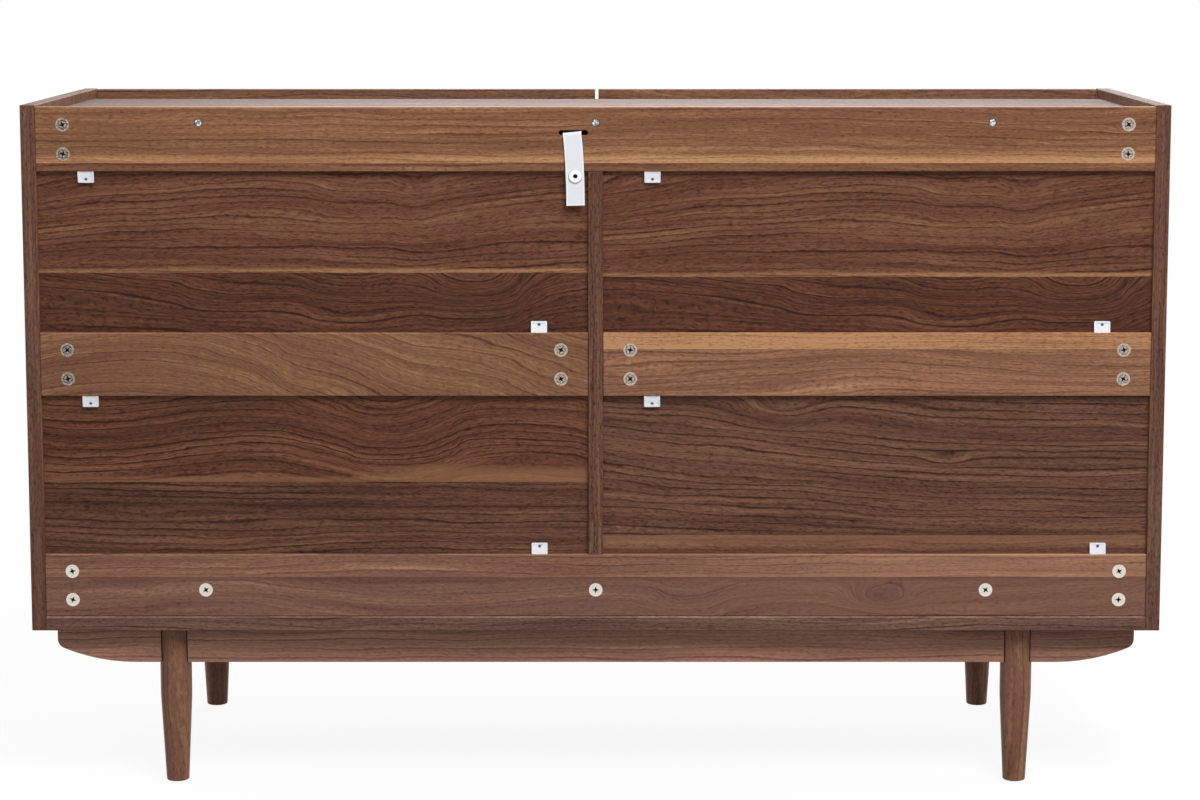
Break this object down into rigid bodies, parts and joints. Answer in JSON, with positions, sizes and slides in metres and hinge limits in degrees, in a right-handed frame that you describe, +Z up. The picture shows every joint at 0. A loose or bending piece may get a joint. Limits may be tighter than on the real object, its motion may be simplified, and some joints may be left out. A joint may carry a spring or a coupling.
{
  "type": "dresser",
  "caption": "Low double dresser on turned legs, with walnut panels, drawers on side runners that open by their upper edges, a panelled back and a wall strap.",
  "frame": {"origin": "on the floor, under the middle of the case", "axes": "+Z up, +X to the right seen from the front, +Y from the front towards the back; the drawers open along -Y"},
  "size_m": [1.25, 0.4045, 0.76],
  "materials": {
    "walnut_laminate": "satin walnut print",
    "back_board": "matte walnut print",
    "solid_walnut": "satin lacquer",
    "drawer_board": "matte walnut print",
    "beech": "plain",
    "white_plastic": "moulded",
    "zinc": "die-cast zinc",
    "steel": "zinc plated",
    "runner_steel": "zinc plated",
    "webbing": "woven white tape"
  },
  "bodies": {
    "case": {"side_panel_left": "walnut_laminate", "side_panel_right": "walnut_laminate", "top_panel": "walnut_laminate", "bottom_panel": "walnut_laminate", "centre_divider": "walnut_laminate", "top_rear_rail": "walnut_laminate", "middle_rear_rail_left": "walnut_laminate", "middle_rear_rail_right": "walnut_laminate", "bottom_rear_rail": "walnut_laminate", "back_panel_upper_left": "back_board", "back_panel_upper_right": "back_board", "back_panel_lower_left": "back_board", "back_panel_lower_right": "back_board", "back_panel_clips": "white_plastic", "cam_locks": "zinc", "cam_bolts": "steel", "case_screws": "steel", "dowels": "beech", "wall_strap": "webbing", "strap_eyelet": "white_plastic", "front_skirt_boards": "walnut_laminate", "rear_skirt_boards": "walnut_laminate", "leg_front_left": "solid_walnut", "leg_front_right": "solid_walnut", "leg_rear_left": "solid_walnut", "leg_rear_right": "solid_walnut", "leg_bolts": "steel", "case_runners": "runner_steel"},
    "drawer_top_left": {"drawer_top_left_front": "walnut_laminate", "drawer_top_left_sides": "drawer_board", "drawer_top_left_back": "drawer_board", "drawer_top_left_bottom": "drawer_board", "drawer_top_left_runners": "runner_steel"},
    "drawer_top_right": {"drawer_top_right_front": "walnut_laminate", "drawer_top_right_sides": "drawer_board", "drawer_top_right_back": "drawer_board", "drawer_top_right_bottom": "drawer_board", "drawer_top_right_runners": "runner_steel"},
    "drawer_middle_left": {"drawer_middle_left_front": "walnut_laminate", "drawer_middle_left_sides": "drawer_board", "drawer_middle_left_back": "drawer_board", "drawer_middle_left_bottom": "drawer_board", "drawer_middle_left_runners": "runner_steel"},
    "drawer_middle_right": {"drawer_middle_right_front": "walnut_laminate", "drawer_middle_right_sides": "drawer_board", "drawer_middle_right_back": "drawer_board", "drawer_middle_right_bottom": "drawer_board", "drawer_middle_right_runners": "runner_steel"},
    "drawer_bottom_left": {"drawer_bottom_left_front": "walnut_laminate", "drawer_bottom_left_sides": "drawer_board", "drawer_bottom_left_back": "drawer_board", "drawer_bottom_left_bottom": "drawer_board", "drawer_bottom_left_runners": "runner_steel"},
    "drawer_bottom_right": {"drawer_bottom_right_front": "walnut_laminate", "drawer_bottom_right_sides": "drawer_board", "drawer_bottom_right_back": "drawer_board", "drawer_bottom_right_bottom": "drawer_board", "drawer_bottom_right_runners": "runner_steel"}
  },
  "joints": [
    {"name": "drawer_top_left_slide", "type": "slide", "parent": "case", "child": "drawer_top_left", "axis": [0, -1, 0], "range_m": [0, 0.25]},
    {"name": "drawer_top_right_slide", "type": "slide", "parent": "case", "child": "drawer_top_right", "axis": [0, -1, 0], "range_m": [0, 0.25]},
    {"name": "drawer_middle_left_slide", "type": "slide", "parent": "case", "child": "drawer_middle_left", "axis": [0, -1, 0], "range_m": [0, 0.25]},
    {"name": "drawer_middle_right_slide", "type": "slide", "parent": "case", "child": "drawer_middle_right", "axis": [0, -1, 0], "range_m": [0, 0.25]},
    {"name": "drawer_bottom_left_slide", "type": "slide", "parent": "case", "child": "drawer_bottom_left", "axis": [0, -1, 0], "range_m": [0, 0.25]},
    {"name": "drawer_bottom_right_slide", "type": "slide", "parent": "case", "child": "drawer_bottom_right", "axis": [0, -1, 0], "range_m": [0, 0.25]}
  ]
}
